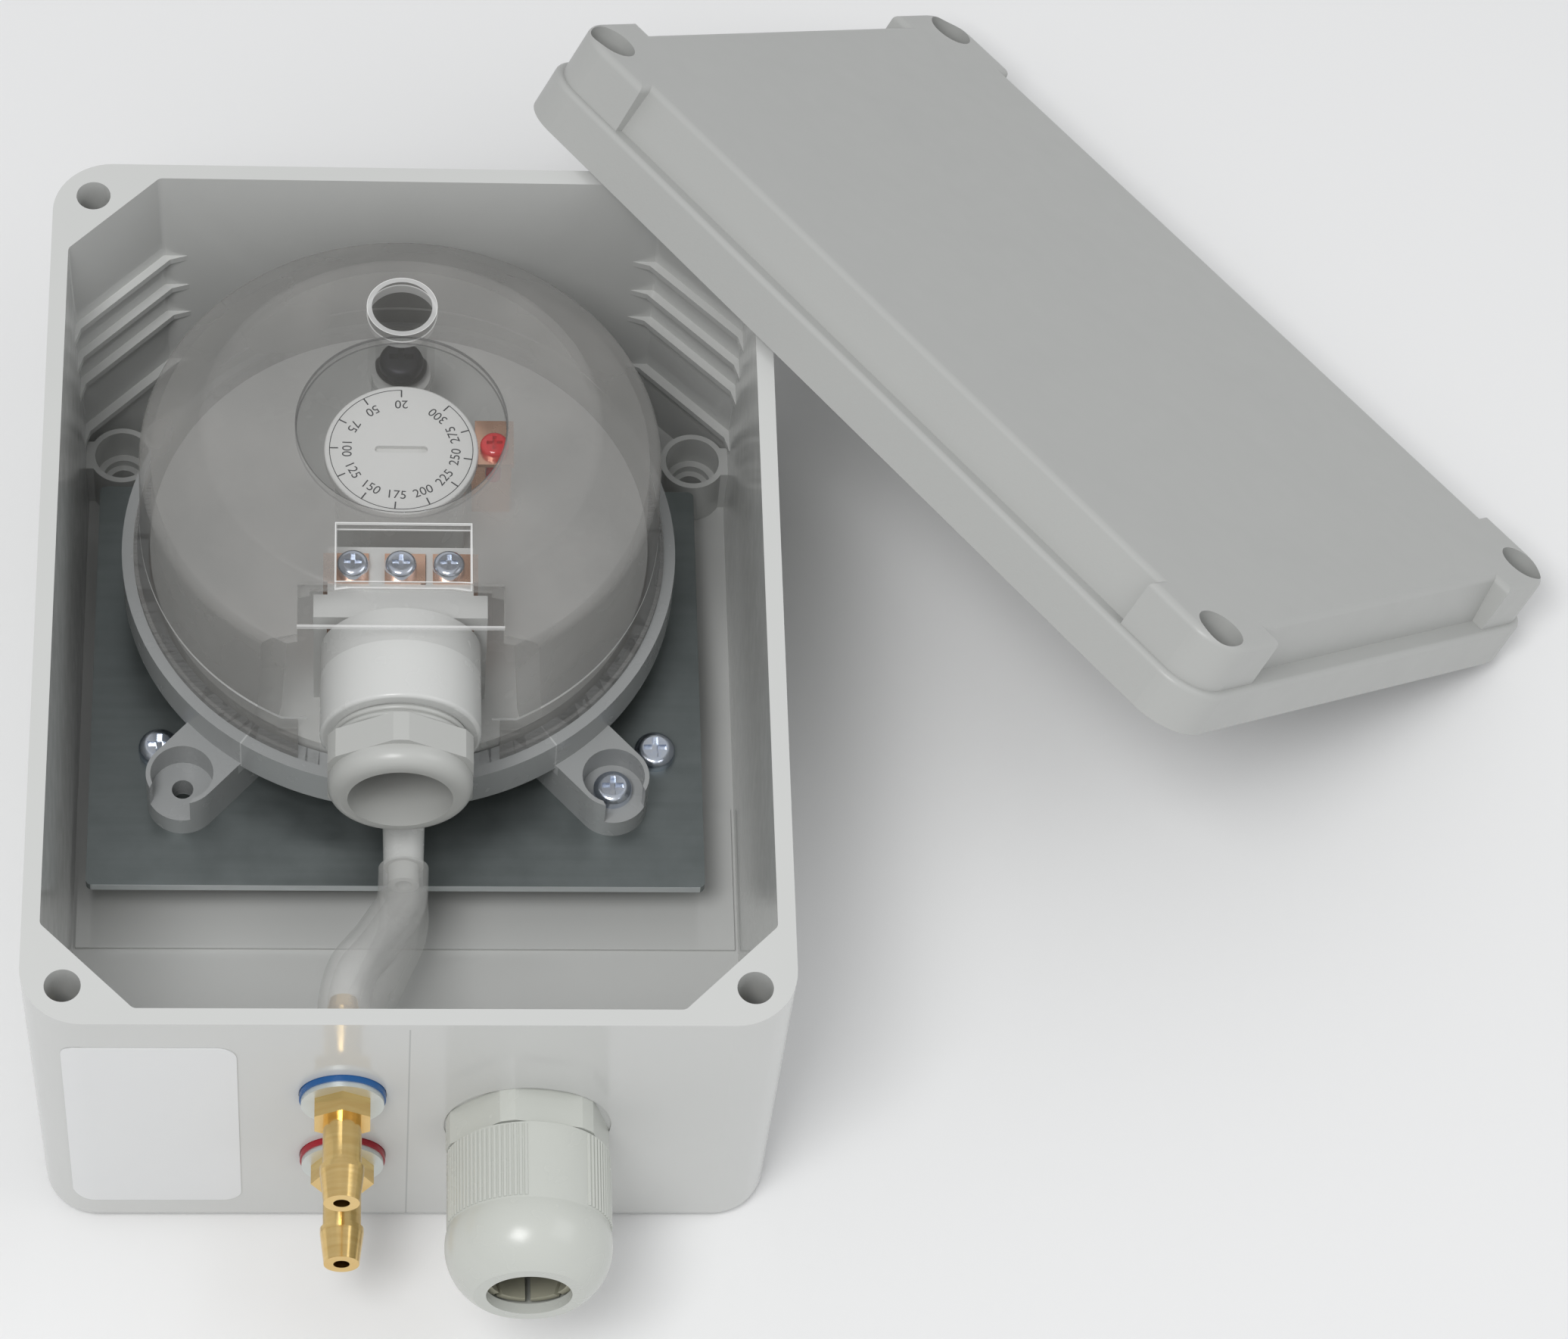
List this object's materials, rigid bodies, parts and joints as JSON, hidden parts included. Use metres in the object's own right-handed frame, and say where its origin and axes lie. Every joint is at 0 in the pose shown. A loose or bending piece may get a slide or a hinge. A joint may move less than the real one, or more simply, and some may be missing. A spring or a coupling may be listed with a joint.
{
  "type": "differential pressure switch",
  "caption": "Adjustable membrane switch for air pressure with clear cover, mounted on a plate in a wall box with hose barbs and cable gland, the box's lid leaning beside it.",
  "frame": {"origin": "centre of the box's underside, which lies on the wall", "axes": "+Z away from the wall, -Y towards the side with the hose barbs and the gland, +X to the right seen from that side"},
  "size_m": [0.2371, 0.2467, 0.0773],
  "materials": {
    "box_plastic": "satin",
    "lid_plastic": "satin",
    "brass": "turned",
    "galvanised_steel": "galvanised",
    "zinc_steel": "zinc plated",
    "dark_steel": "blackened",
    "housing_plastic": "satin",
    "white_plastic": "satin",
    "clear_plastic": "part frosted, part clear",
    "dial_plastic": "printed",
    "copper": "bright copper",
    "lacquered_screw": "locked with red lacquer",
    "spring_steel": "bright",
    "aluminium": "pressed",
    "silicone_membrane": "matt",
    "silicone_tube": "translucent",
    "seal_rubber": "matt",
    "gland_plastic": "satin",
    "claw_plastic": "satin",
    "blue_plastic": "satin",
    "red_plastic": "satin",
    "white_label": "sticker film",
    "foam": "foam"
  },
  "bodies": {
    "base": {"blue_ring": "blue_plastic", "cable_nut": "white_plastic", "cable_seal": "seal_rubber", "calibration_bracket": "copper", "calibration_screw": "lacquered_screw", "common_terminal": "copper", "contact_lower": "copper", "contact_upper": "copper", "cover": "clear_plastic", "cover_screw": "dark_steel", "diaphragm": "silicone_membrane", "enclosure_base": "box_plastic", "enclosure_lid": "lid_plastic", "gland_body": "gland_plastic", "gland_cap": "gland_plastic", "gland_claw": "claw_plastic", "gland_nut": "gland_plastic", "gland_seal": "seal_rubber", "label": "white_label", "lid_gasket": "foam", "lower_fitting_nut": "brass", "lower_hose_fitting": "brass", "lower_housing": "housing_plastic", "lower_tube": "silicone_tube", "lower_washer": "zinc_steel", "lug_screw": "zinc_steel", "mounting_plate": "galvanised_steel", "plate_screw_1": "zinc_steel", "plate_screw_2": "zinc_steel", "plate_screw_3": "zinc_steel", "plate_screw_4": "zinc_steel", "red_ring": "red_plastic", "setting_spring": "spring_steel", "terminal_screw_1": "zinc_steel", "terminal_screw_2": "zinc_steel", "terminal_screw_3": "zinc_steel", "thread_insert_1": "brass", "thread_insert_2": "brass", "thread_insert_3": "brass", "thread_insert_4": "brass", "upper_fitting_nut": "brass", "upper_hose_fitting": "brass", "upper_housing": "white_plastic", "upper_tube": "silicone_tube", "upper_washer": "zinc_steel"},
    "dial": {"setting_dial": "dial_plastic", "dial_spindle": "brass"},
    "seat": {"spring_seat": "brass"},
    "membrane_plate": {"diaphragm_plate": "aluminium"},
    "blade": {"contact_lever": "copper"}
  },
  "joints": [
    {"name": "dial_turn", "type": "hinge", "parent": "base", "child": "dial", "pos_m": [-0.0015, 0.0276, 0.055], "axis": [0, 0, -1], "range_deg": [0, 320]},
    {"name": "seat_slide", "type": "slide", "parent": "base", "child": "seat", "axis": [0, 0, -1], "range_m": [0, 0.003], "deforming": ["setting_spring"]},
    {"name": "plate_lift", "type": "slide", "parent": "base", "child": "membrane_plate", "axis": [0, 0, 1], "range_m": [0, 0.0005], "stiffness_N_per_m": 200, "deforming": ["diaphragm"]},
    {"name": "blade_turn", "type": "hinge", "parent": "base", "child": "blade", "pos_m": [-0.0109, 0.0075, 0.0342], "axis": [0, -1, 0], "range_deg": [0, 4.9]}
  ],
  "couplings": [
    {"joint": "dial_turn", "follows": "seat_slide", "rad_per_m": 1850},
    {"joint": "blade_turn", "follows": "plate_lift", "rad_per_m": 169}
  ]
}
